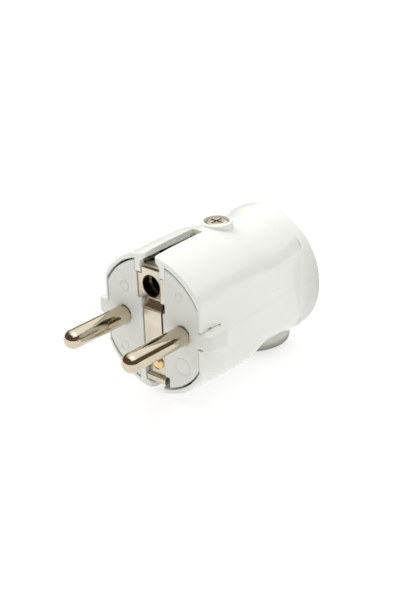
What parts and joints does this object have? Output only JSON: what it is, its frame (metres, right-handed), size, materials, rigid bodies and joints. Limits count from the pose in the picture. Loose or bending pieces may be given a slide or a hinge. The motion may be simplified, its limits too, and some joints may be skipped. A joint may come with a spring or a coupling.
{
  "type": "type f plug",
  "caption": "Round-pin earthed mains plug: two-part white shell, pin carrier with side ears, earth strip and socket, screw boss and side cord bush.",
  "frame": {"origin": "centre of the contact face, midway between the two pins, at the face of the pin carrier", "axes": "-Y is the way the pins point and the plug goes in; X runs across the two pins, +X on the right as seen from the pins' side with the cover screw up; +Z points to the cover screw side"},
  "size_m": [0.0374, 0.0628, 0.0378],
  "materials": {
    "white_shell": "smooth moulded white plastic, soft gloss",
    "carrier_plastic": "moulded off-white plastic, satin",
    "grey_plastic": "moulded grey plastic, matt",
    "nickel_plated_brass": "bright nickel plate, turned",
    "plated_strip": "plated sheet, satin",
    "brass": "bare brass, satin",
    "plated_steel": "nickel plate, bright"
  },
  "bodies": {
    "root": {"upper_shell": "white_shell", "lower_shell": "white_shell", "cover_screw": "plated_steel", "cover_nut": "brass", "pin_carrier": "carrier_plastic", "carrier_back_plate": "carrier_plastic", "back_plate_screws": "plated_steel", "left_pin": "nickel_plated_brass", "right_pin": "nickel_plated_brass", "left_terminal_screw": "plated_steel", "right_terminal_screw": "plated_steel", "earth_strip": "plated_strip", "earth_socket_sleeve": "nickel_plated_brass", "earth_rivet": "brass", "earth_terminal": "brass", "earth_terminal_screw": "plated_steel", "cord_bush": "grey_plastic", "cord_clamp": "grey_plastic", "left_clamp_screw": "plated_steel", "right_clamp_screw": "plated_steel"}
  },
  "joints": []
}
